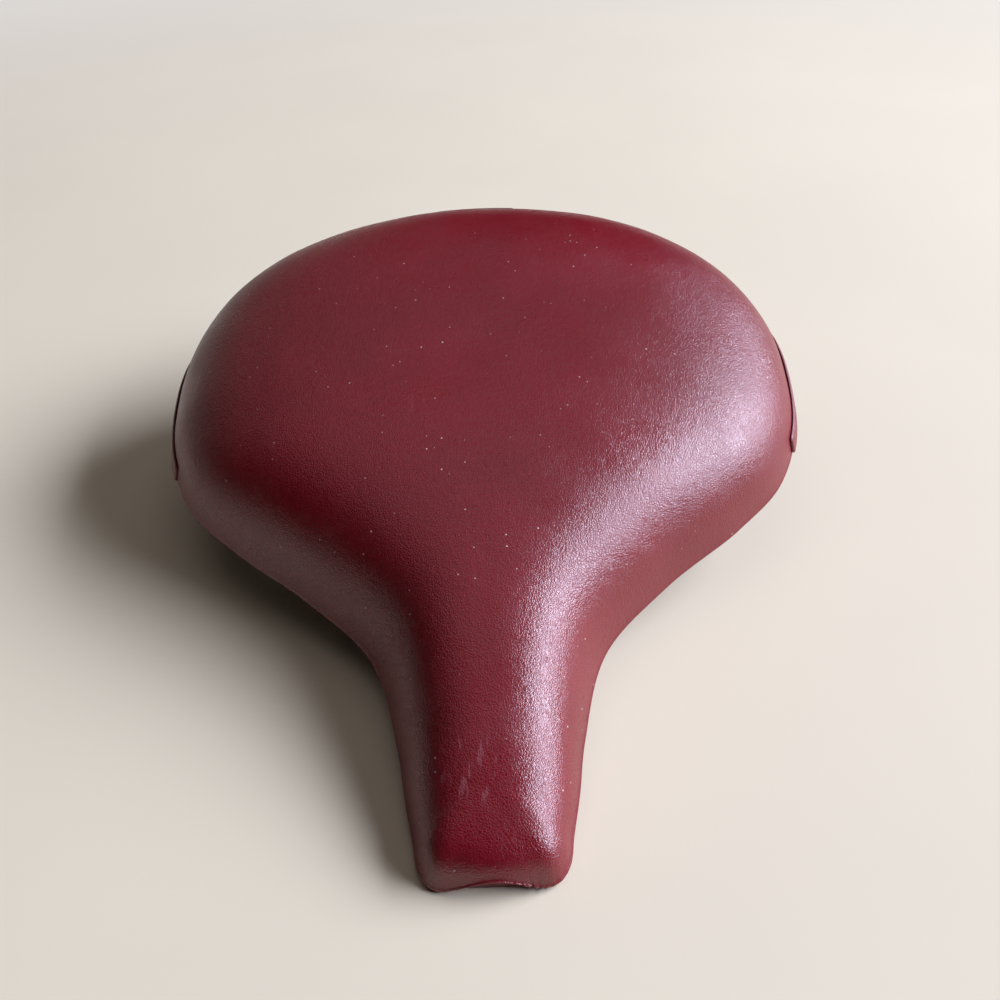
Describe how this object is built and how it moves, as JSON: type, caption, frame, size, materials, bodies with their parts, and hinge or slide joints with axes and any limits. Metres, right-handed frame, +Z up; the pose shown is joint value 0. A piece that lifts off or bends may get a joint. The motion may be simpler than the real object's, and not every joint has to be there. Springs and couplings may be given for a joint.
{
  "type": "bicycle saddle",
  "caption": "Wide sprung bicycle saddle with a moulded burgundy cover, coil springs, double-wire rails and a tilting seat-post clamp.",
  "frame": {"origin": "on the surface the saddle lies on, under the middle of its box", "axes": "+Z up; the nose points along -Y; +X is to the right when looking from the nose towards the rear. The saddle lies on the tip of its nose and its two lower spring nuts, which tips its rails 8 degrees nose-down."},
  "size_m": [0.2302, 0.2763, 0.0803],
  "materials": {
    "cover_vinyl": "burgundy moulded leatherette with a fine grain, satin",
    "trim_vinyl": "burgundy satin vinyl band",
    "foam": "aged open-cell polyurethane foam",
    "black_steel": "black stoved enamel on pressed steel",
    "rail_steel": "aged chrome-plated wire",
    "spring_steel": "aged chrome-plated spring wire",
    "zinc_steel": "dull zinc plating",
    "badge_metal": "dark blank metal plate"
  },
  "bodies": {
    "undercarriage": {"rear_crossbar": "zinc_steel", "nose_pivot_bolt": "zinc_steel", "nose_pivot_nut": "zinc_steel", "rail_left": "rail_steel", "rail_right": "rail_steel", "lower_spring_cup_left": "zinc_steel", "lower_spring_cup_right": "zinc_steel", "lower_spring_bolt_left": "zinc_steel", "lower_spring_bolt_right": "zinc_steel", "lower_spring_nut_left": "zinc_steel", "lower_spring_nut_right": "zinc_steel", "coil_spring_left": "spring_steel", "coil_spring_right": "spring_steel"},
    "seat": {"cover_skin": "cover_vinyl", "nose_lip": "cover_vinyl", "foam_pad": "foam", "base_pan": "black_steel", "rear_trim_band": "trim_vinyl", "rear_badge_plate": "badge_metal", "rear_channel": "black_steel", "nose_lug_left": "black_steel", "nose_lug_right": "black_steel", "upper_spring_cup_left": "zinc_steel", "upper_spring_cup_right": "zinc_steel", "upper_spring_bolt_left": "zinc_steel", "upper_spring_bolt_right": "zinc_steel", "upper_spring_nut_left": "zinc_steel", "upper_spring_nut_right": "zinc_steel"},
    "rail_clamp": {"clamp_bolt": "zinc_steel", "inner_cheek_left": "zinc_steel", "inner_cheek_right": "zinc_steel", "outer_cheek_left": "zinc_steel", "outer_cheek_right": "zinc_steel", "clamp_washer_left": "zinc_steel", "clamp_washer_right": "zinc_steel", "clamp_nut_left": "zinc_steel", "clamp_nut_right": "zinc_steel"},
    "post_grip": {"post_band": "zinc_steel"}
  },
  "joints": [
    {"name": "spring_travel", "type": "hinge", "parent": "undercarriage", "child": "seat", "pos_m": [0, -0.08615, 0.012], "axis": [-1, 0, 0], "range_deg": [0, 3], "stiffness_Nm_per_rad": 1200, "deforming": ["coil_spring_left", "coil_spring_right"]},
    {"name": "clamp_slide", "type": "slide", "parent": "undercarriage", "child": "rail_clamp", "axis": [0, 0.9903, 0.1392], "range_m": [-0.015, 0.015]},
    {"name": "clamp_tilt", "type": "hinge", "parent": "rail_clamp", "child": "post_grip", "pos_m": [0, 0.01085, 0.017], "axis": [1, 0, 0], "range_deg": [-12, 12]}
  ]
}
